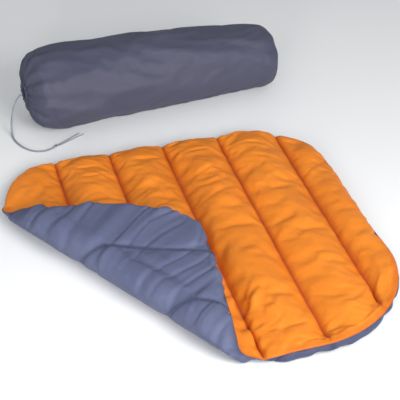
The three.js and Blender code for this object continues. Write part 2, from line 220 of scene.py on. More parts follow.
# ---------------------------------------------------------------- outline of the open blanket
def rounded(corners, steps=30):
    pts, n = [], len(corners)
    for i, (px, py, r) in enumerate(corners):
        p = np.array([px, py])
        a = np.array(corners[i - 1][:2]) - p
        b = np.array(corners[(i + 1) % n][:2]) - p
        a, b = a / np.linalg.norm(a), b / np.linalg.norm(b)
        half = math.acos(float(np.clip(a @ b, -1, 1))) / 2
        t = r / math.tan(half)
        c = p + (a + b) / np.linalg.norm(a + b) * r / math.sin(half)
        s, e = p + a * t - c, p + b * t - c
        a0, a1 = math.atan2(s[1], s[0]), math.atan2(e[1], e[0])
        turn = (a1 - a0 + math.pi) % (2 * math.pi) - math.pi
        for k in range(steps + 1):
            th = a0 + turn * k / steps
            pts.append(c + r * np.array([math.cos(th), math.sin(th)]))
    return np.array(pts)


OUTLINE = rounded([
    (LEFT, BACK, 0.180), (LEFT, FRONT + CORNER_SLOPE * (CORNER_START - LEFT), 0.150),
    (CORNER_START, FRONT, 0.240), (RIGHT, FRONT, 0.285), (RIGHT, BACK, 0.213)])


def edge_ys(x):
    lo, hi = np.full(len(x), np.inf), np.full(len(x), -np.inf)
    xs = np.clip(x, LEFT + 1e-6, RIGHT - 1e-6)
    for p, q in zip(OUTLINE, np.roll(OUTLINE, -1, 0)):
        if abs(p[0] - q[0]) < 1e-12:
            continue
        t = (xs - p[0]) / (q[0] - p[0])
        ok = (t >= 0) & (t <= 1)
        y = p[1] + (q[1] - p[1]) * t
        lo[ok], hi[ok] = np.minimum(lo[ok], y[ok]), np.maximum(hi[ok], y[ok])
    return lo, hi


def edge_distance(x, y):
    d = np.full(np.shape(x), 1e9)
    for p, q in zip(OUTLINE, np.roll(OUTLINE, -1, 0)):
        e = q - p
        L = float(e @ e)
        if L < 1e-12:
            continue
        t = np.clip(((x - p[0]) * e[0] + (y - p[1]) * e[1]) / L, 0, 1)
        d = np.minimum(d, np.hypot(x - p[0] - t * e[0], y - p[1] - t * e[1]))
    return d


def off_fold(x, y):
    """How far a point of the open blanket lies beyond the fold line, on the side that is folded over."""
    return -((x - FOLD[0]) * N[0] + (y - FOLD[1]) * N[1])


def along_fold(x, y):
    return (x - FOLD[0]) * U[0] + (y - FOLD[1]) * U[1]


def channel(x):
    return np.clip(np.searchsorted(np.array(SEAMS[1:-1]), x), 0, len(WIDTHS) - 1)


def across(x):
    i = channel(x)
    s = np.array(SEAMS)
    mid, half = (s[i] + s[i + 1]) / 2, (s[i + 1] - s[i]) / 2
    return np.clip(np.abs(x - mid) / half, 0, 1)


def fold_ends(off):
    """Where the outline crosses the line at this distance beyond the fold line, the back end first."""
    found = []
    for p, q in zip(OUTLINE, np.roll(OUTLINE, -1, 0)):
        a, b = off_fold(*p) - off, off_fold(*q) - off
        if a * b <= 0 and a != b:
            found.append(p + (q - p) * a / (a - b))
    found.sort(key=lambda e: along_fold(*e))
    return found[0], found[-1]


FRONT_TIP = fold_ends(0)[1]


def seam_distance(x):
    return np.min([np.abs(x - s) for s in SEAMS[1:-1]], axis=0)


def turned(x, y):
    """1 on the corner that is folded over, 0 on the rest."""
    return smooth((off_fold(x, y) + 0.055) / 0.045)


def rim_wrap(x, y):
    """Where the under cover wraps up round the rim: the front edge beyond the fold, and the folded corner."""
    off = off_fold(x, y)
    front = smooth((x - FRONT_TIP[0] - 0.010) / 0.06) * smooth((-0.02 - y) / 0.24) * smooth((-0.01 - off) / 0.04)
    corner = smooth((off - STRIP - 0.005) / 0.07)
    return np.maximum(front, corner)


def seam_height(x, y, d):
    base = SEAM_Z - 0.007 * turned(x, y)
    rim = EDGE_Z * (1 - 0.35 * across(x) ** 6) * (1 - rim_wrap(x, y)) + 0.0345 * rim_wrap(x, y)
    return base + (rim - base) * smooth(1 - d / 0.045)


def shape_top(x, y, d):
    zs = seam_height(x, y, d)
    e = np.sqrt(1 - (1 - np.minimum(d, 0.075) / 0.075) ** 2)
    return zs + 0.001 * smooth(d / 0.01) + (CREST - 0.003 - zs) * (1 - across(x) ** 2) ** 0.5 * e


def shape_under(x, y, d):
    zs = seam_height(x, y, d)
    e = np.sqrt(1 - (1 - np.minimum(d, 0.022) / 0.022) ** 2)
    return zs - 0.001 * smooth(d / 0.01) - (zs - 0.001) * np.minimum(1, 1.3 * (1 - across(x) ** 2) ** 0.6) * e


RIM_R = 0.018
RIM_START = math.radians(20)


def wrap_rim(x, y, d, z, under):
    """Rounds the rim: the seam moves in and up, and the under cover bulges out below it to the outline."""
    w = rim_wrap(x, y)
    eps = 1e-4
    gx = (edge_distance(x + eps, y) - edge_distance(x - eps, y)) / (2 * eps)
    gy = (edge_distance(x, y + eps) - edge_distance(x, y - eps)) / (2 * eps)
    g = np.hypot(gx, gy)
    gx, gy = gx / np.maximum(g, 1e-6), gy / np.maximum(g, 1e-6)
    seam_in = RIM_R * (1 - math.sin(RIM_START))
    top_in = d + seam_in * (1 - smooth(d / 0.07))
    arc = RIM_R * (math.pi - RIM_START)
    phi = RIM_START + np.minimum(d, arc) / RIM_R
    on_arc = d < arc
    under_in = np.where(on_arc, RIM_R * (1 - np.sin(phi)), d - (arc - RIM_R) * (1 - smooth((d - arc) / 0.11)))
    under_z = np.where(on_arc, np.maximum(RIM_R * (1 + np.cos(phi)), z * smooth(d / arc)), z)
    inset = np.where(under, under_in, top_in)
    shift = (inset - d) * w
    near = (d < 0.16) & (g > 0.5)
    nx = np.where(near, x + gx * shift, x)
    ny = np.where(near, y + gy * shift, y)
    nz = np.where(near & under, z + (under_z - z) * w, z)
    return nx, ny, nz


# ---------------------------------------------------------------- the quilt, made flat
def column_xs(step):
    near = [0, 0.0005, 0.002, 0.0045, 0.008, 0.0125, 0.018]
    xs = []
    for i, w in enumerate(WIDTHS):
        n = max(4, round(w / step))
        xs += list(np.linspace(SEAMS[i], SEAMS[i + 1], n + 1)[:-1])
    xs = [x for x in xs if LEFT + 0.0245 < x < RIGHT - 0.0245]
    xs += [LEFT + k for k in near] + [RIGHT - k for k in near]
    return np.array(sorted(xs))


def make_flat_quilt(step, rows):
    xs = column_xs(step)
    lo, hi = edge_ys(xs)
    t = np.linspace(0, 1, rows)
    t = t - 0.07 * np.sin(2 * np.pi * t)
    X = np.repeat(xs[:, None], rows, 1)
    Y = lo[:, None] + (hi - lo)[:, None] * t[None]
    n, m = X.shape
    D = edge_distance(X, Y)
    edge = np.zeros((n, m), bool)
    edge[0], edge[-1], edge[:, 0], edge[:, -1] = True, True, True, True
    D[edge] = 0
    flat = np.stack([X, Y], -1).reshape(-1, 2)
    over = np.zeros((n, m), bool)
    top = np.stack(wrap_rim(X, Y, D, shape_top(X, Y, D), over), -1).reshape(-1, 3)
    inner = np.flatnonzero(~edge.ravel())
    under_all = np.stack(wrap_rim(X, Y, D, shape_under(X, Y, D), ~over), -1).reshape(-1, 3)
    index = np.arange(n * m)
    index[inner] = n * m + np.arange(len(inner))
    verts = np.concatenate([top, under_all[inner]])
    flat = np.concatenate([flat, flat[inner]])
    T, B = np.arange(n * m).reshape(n, m), index.reshape(n, m)
    face_quads = np.stack([T[:-1, :-1], T[1:, :-1], T[1:, 1:], T[:-1, 1:]], -1).reshape(-1, 4)
    under_quads = np.stack([B[:-1, :-1], B[:-1, 1:], B[1:, 1:], B[1:, :-1]], -1).reshape(-1, 4)
    me = mesh_from("quilt", verts, np.concatenate([face_quads, under_quads]))
    set_uv(me, flat[loop_vertices(me)] - [LEFT, FRONT])
    set_attribute(me, "flat_at", np.c_[flat, np.zeros(len(flat))])
    set_attribute(me, "facing", np.r_[np.where(edge.ravel(), 0, 1), np.full(len(inner), -1)])
    me.materials.append(MATERIALS["orange"])
    me.materials.append(MATERIALS["grey"])
    mats = np.zeros(len(me.polygons), np.int32)
    mats[len(face_quads):] = 1
    me.polygons.foreach_set("material_index", mats)
    on_seam = np.isin(np.round(X, 6), np.round(np.array(SEAMS[1:-1]), 6))
    pins = np.flatnonzero((edge | on_seam).ravel())
    pins = np.unique(np.concatenate([pins, index[pins]]))
    # the quilting lines and the rim stay sharp when the mesh is subdivided
    sharp = np.zeros(len(verts), bool)
    sharp[pins] = True
    ev = np.empty(len(me.edges) * 2, np.int32)
    me.edges.foreach_get("vertices", ev)
    ev = ev.reshape(-1, 2)
    a, b = flat[ev[:, 0]], flat[ev[:, 1]]
    same_x = np.abs(a[:, 0] - b[:, 0]) < 1e-7
    dd = edge_distance(np.r_[a[:, 0], b[:, 0]], np.r_[a[:, 1], b[:, 1]]).reshape(2, -1).max(0)
    c = np.where(sharp[ev].all(1) & same_x & (dd > 1e-5), 1.0, 0.0)
    set_attribute(me, "crease_edge", np.maximum(c, np.where(dd < 1e-5, 0.8, 0)), "EDGE")
    return new_object("quilt_flat", me), pins


def flat_of(me):
    """Each vertex's place on the open blanket, and its cover: 1 the face, -1 the under side, 0 the rim."""
    at, facing = np.empty(len(me.vertices) * 3, np.float32), np.empty(len(me.vertices), np.float32)
    me.attributes["flat_at"].data.foreach_get("vector", at)
    me.attributes["facing"].data.foreach_get("value", facing)
    at = at.reshape(-1, 3).astype(float)
    return at[:, 0], at[:, 1], facing.astype(float)


def cap(start, moved, most):
    """Keeps each point within this distance of where it started, easing towards the limit."""
    d = moved - start
    length = np.linalg.norm(d, axis=1, keepdims=True)
    return start + d / (1 + length / most)


def puckers(me):
    """Small folds that the simulated mesh is too coarse for, in the blanket's own flat coordinates."""
    co, no = get_co(me), get_no(me)
    x, y, facing = flat_of(me)
    d = edge_distance(x, y)
    sd = seam_distance(x)
    off = off_fold(x, y)
    top = facing > 0
    live = smooth(np.minimum(sd, d) / 0.006)
    flap = smooth((off + 0.02) / 0.03)
    # short gathers along the quilting rows and the rim, then folds across the channels
    side = np.sign(x - np.array(SEAMS)[channel(x)]) + channel(x)
    along = 0.55 * noise(y / 0.013, side * 7.3, 3) + 0.45 * noise(y / 0.027, side * 3.1, 4)
    f = 0.0019 * along * np.exp(-sd / 0.020)
    rim = noise((x + y) / 0.016, (x - y) / 0.05, 5) * np.exp(-d / 0.022)
    f = f + 0.0016 * rim * (1 - 0.8 * flap)
    cross = noise(x / 0.075, y / 0.028 + 0.6 * noise(x / 0.06, y / 0.1, 8), 6)
    f = f + 0.0017 * cross * smooth(sd / 0.03) + 0.0007 * noise(x / 0.030, y / 0.012 + x / 0.02, 7)
    crease = ridged(x / 0.11 + 0.5 * y / 0.11, y / 0.055 - 0.4 * x / 0.055, 9)
    f = f - 0.0032 * crease * smooth(sd / 0.02) * smooth(noise(x / 0.2, y / 0.2, 10) + 0.5)
    # the crumpled end of the middle seam, and the left end beside the fold
    crush = np.exp(-((x - SEAMS[3] - 0.012) / 0.050) ** 2) * smooth((-0.19 - y) / 0.10)
    crush = crush * smooth((-0.01 - off) / 0.03)
    crush = crush + 0.8 * np.exp(-((x - LEFT - 0.07) / 0.06) ** 2 - ((y - 0.22) / 0.10) ** 2)
    coarse = 0.0110 * noise((x - 0.7 * y) / 0.022, (y + 0.5 * x) / 0.050, 11)
    f = f + crush * (coarse + 0.0045 * noise(x / 0.013, y / 0.018, 12))
    # the side that lies face up on the folded corner: long soft folds, and short ones from its rim
    p = np.stack([x, y], 1) + np.outer(2 * off - STRIP, N)
    lengthways = p[:, 0] * 0.80 + p[:, 1] * 0.60
    sideways = -p[:, 0] * 0.60 + p[:, 1] * 0.80
    warp = 0.5 * noise(lengthways / 0.12, sideways / 0.09, 20)
    g = 0.0046 * noise(lengthways / 0.17, sideways / 0.030 + warp, 21)
    g = g + 0.0030 * noise(lengthways / 0.30 + 7, sideways / 0.055 + 2 * warp, 26)
    g = g - 0.0060 * ridged(lengthways / 0.20, sideways / 0.070 + warp, 22)
    g = g - 0.0048 * ridged(lengthways / 0.26 + 4, sideways / 0.040 + warp, 24)
    g = g + 0.0012 * noise(lengthways / 0.08, sideways / 0.011 + warp, 25)
    short = 0.0024 * noise(lengthways / 0.05, sideways / 0.013 + warp, 23)
    g = g + short * (np.exp(-d / 0.045) + 0.4 * np.exp(-((off - 0.02) / 0.035) ** 2))
    g = g * (1 - 0.5 * np.exp(-((off - 0.02) / 0.045) ** 2)) + 0.0010 * along * np.exp(-sd / 0.016)
    f = np.where(top, f, f * 0.5 * (1 - flap) + g * flap)
    # the folded corner lies slack, so its covers stay nearly level before the folds are laid on them
    slack = smooth((off - STRIP * 0.6) / 0.03) * (~top)
    level = np.maximum(co[:, 2], -0.0015 + 0.22 * (co[:, 2] + 0.0015))
    co[:, 2] += (level - co[:, 2]) * slack
    co = co + no * (f * live)[:, None]
    floor_z = np.where(off > STRIP * 0.5, -0.010, 0.0006)
    co[:, 2] = np.maximum(co[:, 2], floor_z)
    set_co(me, co)


# ---------------------------------------------------------------- folding it over
FOLD_ENDS = [(e + N * (STRIP / 2), amount, reach)
             for e, amount, reach in zip(fold_ends(STRIP / 2), (0.035, 0.032), (0.105, 0.095))]


def droop(co):
    """The fold is thin at its two ends, where the rim comes down, and the corner rises a little away from it."""
    away = -off_fold(co[:, 0], co[:, 1])
    co[:, 2] += 0.055 * np.clip(away, 0, 0.4) * np.clip((co[:, 2] - HINGE_Z) / 0.02, 0, 1)
    g = np.zeros(len(co))
    for e, amount, reach in FOLD_ENDS:
        r = np.hypot(co[:, 0] - e[0], co[:, 1] - e[1])
        g = np.maximum(g, amount * np.exp(-(r / reach) ** 2))
    co[:, 2] -= g * np.clip((co[:, 2] - 0.026) / 0.04, 0, 1)
    return co


def place_corner(co):
    """Turns the corner half way round the fold, so that it lies face down on the rest."""
    off, u = off_fold(co[:, 0], co[:, 1]), along_fold(co[:, 0], co[:, 1])
    s = STRIP - off
    out = co.copy()
    out[:, 0] = FOLD[0] + U[0] * u - N[0] * s
    out[:, 1] = FOLD[1] + U[1] * u - N[1] * s
    out[:, 2] = 2 * HINGE_Z - co[:, 2]
    return droop(out)


def place_strip(co, face=False, d=0):
    """Bends the strip round the fold. The face cover, d from the rim, keeps a turn wide enough to stay open."""
    off, u = off_fold(co[:, 0], co[:, 1]), along_fold(co[:, 0], co[:, 1])
    phi = np.pi * np.clip(off / STRIP, 0, 1)
    h = HINGE_Z - co[:, 2]
    reach = h + (0.025 + (h - 0.002) * 9 / 32 - h) * smooth(d / 0.06) if face else h
    out = co.copy()
    o = reach * np.sin(phi)
    out[:, 0] = FOLD[0] + U[0] * u - N[0] * o
    out[:, 1] = FOLD[1] + U[1] * u - N[1] * o
    out[:, 2] = HINGE_Z - h * np.cos(phi)
    return droop(out)


def cut(me, name, planes, only=None):
    """The part of the mesh on the side that each plane's normal points to; only keeps one material's faces."""
    bm = bmesh.new()
    bm.from_mesh(me)
    if only is not None:
        bmesh.ops.delete(bm, geom=[f for f in bm.faces if f.material_index != only], context="FACES")
    for at, normal in planes:
        geom = bm.verts[:] + bm.edges[:] + bm.faces[:]
        bmesh.ops.bisect_plane(bm, geom=geom, dist=1e-7, plane_co=at, plane_no=normal, clear_inner=True)
    out = bpy.data.meshes.new(name)
    bm.to_mesh(out)
    bm.free()
    for m in me.materials:
        out.materials.append(m)
    shade_smooth(out)
    return out


# ---------------------------------------------------------------- materials
class Nodes:
    """Small helper: constants go straight onto the sockets."""

    def __init__(self, name):
        self.mat = bpy.data.materials.new(name)
        self.mat.use_nodes = True
        self.tree = self.mat.node_tree
        self.bsdf = self.tree.nodes["Principled BSDF"]

    def add(self, kind, inputs=None, **props):
        n = self.tree.nodes.new(kind)
        for k, v in props.items():
            setattr(n, k, v)
        for k, v in (inputs or {}).items():
            if isinstance(v, bpy.types.NodeSocket):
                self.tree.links.new(v, n.inputs[k])
            else:
                n.inputs[k].default_value = v
        return n

    def math(self, op, a, b=0.0):
        return self.add("ShaderNodeMath", {0: a, 1: b}, operation=op).outputs[0]

    def blend(self, a, b, share):
        rest = self.math("MULTIPLY", b.outputs[0], 1 - share)
        return self.math("ADD", self.math("MULTIPLY", a.outputs[0], share), rest)

    def ramp(self, value, low, dark, high, light):
        n = self.add("ShaderNodeValToRGB", {"Fac": value})
        for stop, at, colour in zip(n.color_ramp.elements, (low, high), (dark, light)):
            stop.position, stop.color = at, (*colour, 1)
        return n.outputs[0]

    def bumps(self, *layers):
        """Bump nodes one on another. Each layer is a height, its strength and its distance in metres."""
        normal = None
        for height, strength, distance in layers:
            inputs = {"Height": height, "Strength": strength, "Distance": distance}
            if normal:
                inputs["Normal"] = normal
            normal = self.add("ShaderNodeBump", inputs).outputs[0]
        return normal

    def set(self, **inputs):
        for k, v in inputs.items():
            k = k.replace("_", " ")
            if isinstance(v, bpy.types.NodeSocket):
                self.tree.links.new(v, self.bsdf.inputs[k])
            else:
                self.bsdf.inputs[k].default_value = v


def fabric(name, light, dark, shade_colour, rough, pitch, sheen, uv="flat", crease_scale=9.0):
    """Plain-woven nylon: crossing threads, softly varied colour, fine creases, and painted shade, a darker colour
    mixed in where the mesh marks shade.
    """
    n = Nodes(name)
    at = n.add("ShaderNodeUVMap", uv_map=uv).outputs[0] if uv else n.add("ShaderNodeTexCoord").outputs["Object"]
    sep = n.add("ShaderNodeSeparateXYZ", {0: at})
    k = 2 * math.pi / pitch
    warp = n.math("SINE", n.math("MULTIPLY", sep.outputs[0], k))
    weft = n.math("SINE", n.math("MULTIPLY", sep.outputs[1], k))
    weave = n.math("MULTIPLY", warp, weft)
    slub = n.add("ShaderNodeTexNoise", {"Vector": at, "Scale": 160.0, "Detail": 3.0, "Roughness": 0.6})
    broad = n.add("ShaderNodeTexNoise", {"Vector": at, "Scale": 5.0, "Detail": 4.0, "Roughness": 0.55})
    fine = n.add("ShaderNodeTexNoise", {"Vector": at, "Scale": 42.0, "Detail": 4.0, "Roughness": 0.62,
                                        "Distortion": 0.8})
    creased = n.add("ShaderNodeTexNoise", {"Vector": at, "Scale": crease_scale, "Detail": 3.0, "Roughness": 0.5,
                                           "Distortion": 1.2}, noise_type="RIDGED_MULTIFRACTAL")
    tone = n.ramp(n.blend(broad, slub, 0.75), 0.33, dark, 0.68, light)
    # painted shade: the darker colour is mixed into the base colour where the mesh marks shade
    painted_shade = n.add("ShaderNodeAttribute", attribute_name="painted_shade").outputs["Fac"]
    mixed = n.add("ShaderNodeMix", {"Factor": painted_shade, 6: tone}, data_type="RGBA")
    mixed.inputs[7].default_value = (*shade_colour, 1)
    bumps = n.bumps((creased.outputs[0], 0.64, 0.0026), (fine.outputs[0], 0.72, 0.0015), (weave, 0.22, pitch * 0.22))
    roughness = n.add("ShaderNodeMapRange", {"Value": n.blend(broad, slub, 0.5), "From Min": 0.3, "From Max": 0.7,
                                             "To Min": rough - 0.07, "To Max": rough + 0.08})
    n.set(Base_Color=mixed.outputs[2], Roughness=roughness.outputs[0], Normal=bumps, Sheen_Weight=sheen,
          Sheen_Roughness=0.4, Specular_IOR_Level=0.22, Sheen_Tint=(*light, 1))
    return n.mat


def twisted(name, light, dark, pitch):
    """Thread or cord: strands winding round it, in object space."""
    n = Nodes(name)
    at = n.add("ShaderNodeTexCoord").outputs["Object"]
    wave = n.add("ShaderNodeTexWave", {"Vector": at, "Scale": 3.0 / pitch / (2 * math.pi), "Distortion": 1.5,
                                       "Detail": 2.0}, bands_direction="DIAGONAL")
    fuzz = n.add("ShaderNodeTexNoise", {"Vector": at, "Scale": 900.0, "Detail": 3.0})
    bands = n.math("ADD", n.math("MULTIPLY", wave.outputs["Fac"], 0.6), n.math("MULTIPLY", fuzz.outputs[0], 0.4))
    bumps = n.bumps((wave.outputs["Fac"], 0.6, pitch * 0.3), (fuzz.outputs[0], 0.3, 0.0002))
    n.set(Base_Color=n.ramp(bands, 0.25, dark, 0.75, light), Roughness=0.7, Normal=bumps, Sheen_Weight=0.3)
    return n.mat


# each fabric's third colour is painted shade, mixed in where the mesh marks shade; the packed roll has no such marks
MATERIALS = {
    "orange": fabric("orange_nylon", (0.80, 0.238, 0.021), (0.70, 0.190, 0.014), (0.42, 0.045, 0.004),
                     rough=0.55, pitch=0.00055, sheen=0.06),
    "grey": fabric("grey_nylon", (0.108, 0.122, 0.205), (0.082, 0.093, 0.162), (0.032, 0.038, 0.082),
                   rough=0.52, pitch=0.00055, sheen=0.12, crease_scale=7.0),
    "sack": fabric("sack_nylon", (0.076, 0.077, 0.116), (0.059, 0.060, 0.096), (0.020, 0.020, 0.040),
                   rough=0.55, pitch=0.00060, sheen=0.12, crease_scale=8.0),
    "roll": fabric("packed_nylon", (0.75, 0.21, 0.03), (0.6, 0.15, 0.02), (0.3, 0.05, 0.01),
                   rough=0.55, pitch=0.00060, sheen=0.25, uv=None),
    "orange_thread": twisted("orange_thread", (0.55, 0.10, 0.012), (0.30, 0.045, 0.006), 0.0011),
    "grey_thread": twisted("grey_thread", (0.105, 0.115, 0.190), (0.05, 0.055, 0.10), 0.0011),
    "cord": twisted("braided_cord", (0.36, 0.39, 0.45), (0.15, 0.165, 0.20), 0.0016),
    # the knot is the same cord drawn darker: painted shade in its tight turns
    "knot": twisted("knot_cord_painted_shade", (0.20, 0.22, 0.27), (0.07, 0.08, 0.10), 0.0014),
}


def mark_painted_shade(me, width):
    """Painted shade: marks where the cover sinks towards a quilting line, at the rim, and on the under cover's band
    near the rim, for the darker colour mixed in there.
    """
    x, y, facing = flat_of(me)
    sd, d = seam_distance(x), edge_distance(x, y)
    v = np.exp(-(sd / width) ** 1.2) * smooth(d / 0.012) + 0.5 * np.exp(-d / 0.004)
    # painted shade on the under cover's band near the rim, away from the folded corner
    v = v + 0.55 * (facing < 0) * smooth((0.075 - d) / 0.03) * (off_fold(x, y) < 0)
    set_attribute(me, "painted_shade", np.clip(v, 0, 1))


# ---------------------------------------------------------------- drawcord, first of the pieces
def catmull(points, t):
    """Centripetal Catmull-Rom through the points, at parameters from 0 to 1."""
    P = [np.array(p, float) for p in points]
    P = [2 * P[0] - P[1]] + P + [2 * P[-1] - P[-2]]
    out = []
    for v in t:
        g = v * (len(points) - 1)
        i = min(int(g), len(points) - 2)
        w = g - i
        p = P[i:i + 4]
        k = [0.0]
        for a, b in zip(p, p[1:]):
            k.append(k[-1] + max(np.linalg.norm(b - a) ** 0.5, 1e-6))
        s = k[1] + (k[2] - k[1]) * w
        A = [p[j] * (k[j + 1] - s) / (k[j + 1] - k[j]) + p[j + 1] * (s - k[j]) / (k[j + 1] - k[j]) for j in range(3)]
        B = [A[j] * (k[j + 2] - s) / (k[j + 2] - k[j]) + A[j + 1] * (s - k[j]) / (k[j + 2] - k[j]) for j in range(2)]
        out.append(B[0] * (k[2] - s) / (k[2] - k[1]) + B[1] * (s - k[1]) / (k[2] - k[1]))
    return np.array(out)


def even(points, n):
    dense = catmull(points, np.linspace(0, 1, 900))
    run = np.r_[0, np.cumsum(np.linalg.norm(np.diff(dense, axis=0), axis=1))]
    at = np.linspace(0, run[-1], n)
    return np.stack([np.interp(at, run, dense[:, i]) for i in range(3)], 1), float(run[-1])


def cord_curve(name, pts, radius, material, closed=False):
    cu = bpy.data.curves.new(name, "CURVE")
    cu.dimensions = "3D"
    cu.bevel_depth, cu.bevel_resolution, cu.resolution_u = radius, 4, 6
    cu.use_fill_caps = not closed
    sp = cu.splines.new("NURBS")
    sp.points.add(len(pts) - 1)
    for p, q in zip(sp.points, pts):
        p.co = (*q, 1)
    sp.order_u = 4
    sp.use_endpoint_u = not closed
    sp.use_cyclic_u = closed
    cu.materials.append(material)
    return new_object(name, cu)


CORD_R, PITCH = 0.0015, 0.0035
NECK_Z = R_MOUTH * SACK_SEAT
sx, sy = SACK_AT
ROUTE = [(sx - 0.008, sy - 0.002, NECK_Z - 0.004), (sx - 0.020, sy - 0.004, NECK_Z - 0.016),
         (sx - 0.034, sy - 0.006, NECK_Z - 0.044), (sx - 0.042, sy - 0.008, NECK_Z - 0.078),
         (sx - 0.046, sy - 0.016, 0.012), (sx - 0.047, sy - 0.032, 0.0019), (sx - 0.042, sy - 0.062, 0.0017),
         (sx - 0.027, sy - 0.096, 0.0017), (sx - 0.005, sy - 0.121, 0.0017), (sx + 0.018, sy - 0.130, 0.0017),
         (sx + 0.040, sy - 0.128, 0.0017), (sx + 0.056, sy - 0.120, 0.0017)]
line, _ = even(ROUTE, 37)
tangent = np.gradient(line, axis=0)
tangent /= np.linalg.norm(tangent, axis=1, keepdims=True)
beside = np.stack([-tangent[:, 1], tangent[:, 0], np.zeros(len(line))], 1)
beside /= np.linalg.norm(beside, axis=1, keepdims=True)
end_dir, end = tangent[-1], line[-1]
KNOT_R = 0.0046
knot_at = end + end_dir * (KNOT_R * 1.25 + 0.0005)
knot_at[2] = KNOT_R * 0.9 + 0.0001


def on_sack(ob, slot, *nodes):
    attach(ob, "stuff_sack")
    if nodes:
        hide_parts(*nodes)


def make_cords():
    heading = math.atan2(end_dir[1], end_dir[0])
    t = np.linspace(0, 2 * np.pi, 37)[:-1]
    kx = (np.sin(t) + 2 * np.sin(2 * t)) * 0.00118 * 1.15
    ky = (np.cos(t) - 2 * np.cos(2 * t)) * 0.86 * 0.00118
    kz = -np.sin(3 * t) * 1.1 * 0.00118
    c, s = math.cos(heading), math.sin(heading)
    trefoil = np.stack([kx * c - ky * s, kx * s + ky * c, kz], 1) + knot_at
    knot = cord_curve("cord_knot", trefoil, 0.0014, MATERIALS["knot"], closed=True)
    on_sack(knot, "cord", "drawcord_knot")
    for i, side in ((1, 1), (2, -1)):
        pts = line + beside * side * PITCH / 2
        length = float(np.linalg.norm(np.diff(pts, axis=0), axis=1).sum())
        ob = cord_curve(f"cord_strand_{i}", pts, CORD_R, MATERIALS["cord"])
        on_sack(ob, "cord", f"drawcord_strand_{i}")
        apart = np.array([-end_dir[1], end_dir[0], 0])
        p0 = knot_at + end_dir * (KNOT_R * 1.25 + 0.0006) + apart * side * PITCH / 2
        tail = []
        for a, b, z in ((0, 0, 0.003), (0.008, 0.0006, CORD_R + 0.0003), (0.030, 0.0016, CORD_R + 0.0002),
                        (0.052, 0.0026, CORD_R + 0.0002), (0.084 if side > 0 else 0.090, 0.0042, CORD_R + 0.0002)):
            p = p0 + end_dir * a + apart * side * b
            tail.append((p[0], p[1], z))
        pts, length = even(tail, 16)
        ob = cord_curve(f"cord_tail_{i}", pts, CORD_R, MATERIALS["cord"])
        on_sack(ob, "cord", f"drawcord_tail_{i}")


make_cords()


# ---------------------------------------------------------------- quilt pieces
def fold_at(off):
    return Vector((FOLD[0] - N[0] * off, FOLD[1] - N[1] * off, 0))


def blend_wing(ob):
    """Only bakes the piece's transform into its mesh; the wings (inner wing on the quilt at seam 4, outer wing on the
    inner one at seam 5) are not folded here.
    """
    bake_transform(ob)


def quilt_nodes(*starts):
    return [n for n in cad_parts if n.startswith(starts) and "stitch" not in n]


def cut_piece(me, name, planes, only=None):
    return new_object(name, cut(me, name, planes, only))


def make_quilt():
    flat, pins = make_flat_quilt(0.0082, 96)
    start = get_co(flat.data).copy()
    run_cloth(flat, pins, pressure=2.5, slack=0.035, frames=18)
    set_co(flat.data, cap(start, get_co(flat.data), 0.022))
    subdivide(flat)
    puckers(flat.data)
    me = flat.data
    mark_painted_shade(me, 0.0032)
    inward, outward = Vector((N[0], N[1], 0)), Vector((-N[0], -N[1], 0))
    side_cut = Vector((SEAMS[5] - WING_BAND, 0, 0))
    body = cut_piece(me, "quilt_body", [(fold_at(0), inward), (side_cut, Vector((-1, 0, 0)))])
    set_co(body.data, droop(get_co(body.data)))
    blend_wing(body)
    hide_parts(*quilt_nodes("main_", "inner_wing_"))
    side = cut_piece(me, "quilt_side", [(side_cut, Vector((1, 0, 0)))])
    blend_wing(side)
    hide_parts(*quilt_nodes("outer_wing_"))
    corner = cut_piece(me, "quilt_corner", [(fold_at(STRIP), outward)])
    set_co(corner.data, place_corner(get_co(corner.data)))
    corner.data.flip_normals()
    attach(corner, "folded_corner")
    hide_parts(*quilt_nodes("corner_"))
    for name, only, face in (("quilt_bend_outside", 1, False), ("quilt_bend_inside", 0, True)):
        strip = cut_piece(me, name, [(fold_at(0), outward), (fold_at(STRIP), inward)], only=only)
        # each point's share of the fold is its place on the strip while that is flat, so both edges stay joined
        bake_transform(strip)
        fx, fy, _ = flat_of(strip.data)
        set_co(strip.data, place_strip(get_co(strip.data), face, edge_distance(fx, fy)))
        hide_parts("bend_top_cover" if face else "bend_under_cover")
    bpy.data.objects.remove(flat)


make_quilt()


# ---------------------------------------------------------------- stitches
def stitch_mesh(name, rows, material):
    """Rows of separate stitches, each a small rounded length of thread. rows holds (centre, direction, up)."""
    prof = [(-1.0, 0.25), (-0.8, 0.8), (-0.3, 1.0), (0.3, 1.0), (0.8, 0.8), (1.0, 0.25)]
    half, thick, ring = 0.0018, 0.00055, 6
    verts, faces = [], []
    for c, d, up in rows:
        w = np.cross(d, up)
        w /= np.linalg.norm(w)
        up = np.cross(w, d)
        base = len(verts)
        for a, r in prof:
            for k in range(ring):
                th = 2 * math.pi * k / ring
                verts.append(c + d * a * half + (w * math.cos(th) + up * math.sin(th) * 0.8) * r * thick)
        for i in range(len(prof) - 1):
            for k in range(ring):
                p, q = base + i * ring + k, base + i * ring + (k + 1) % ring
                faces.append((p, q, q + ring, p + ring))
        faces.append(tuple(base + k for k in reversed(range(ring))))
        faces.append(tuple(base + (len(prof) - 1) * ring + k for k in range(ring)))
    me = mesh_from(name, verts, faces)
    me.materials.append(material)
    shade_smooth(me)
    return new_object(name, me)


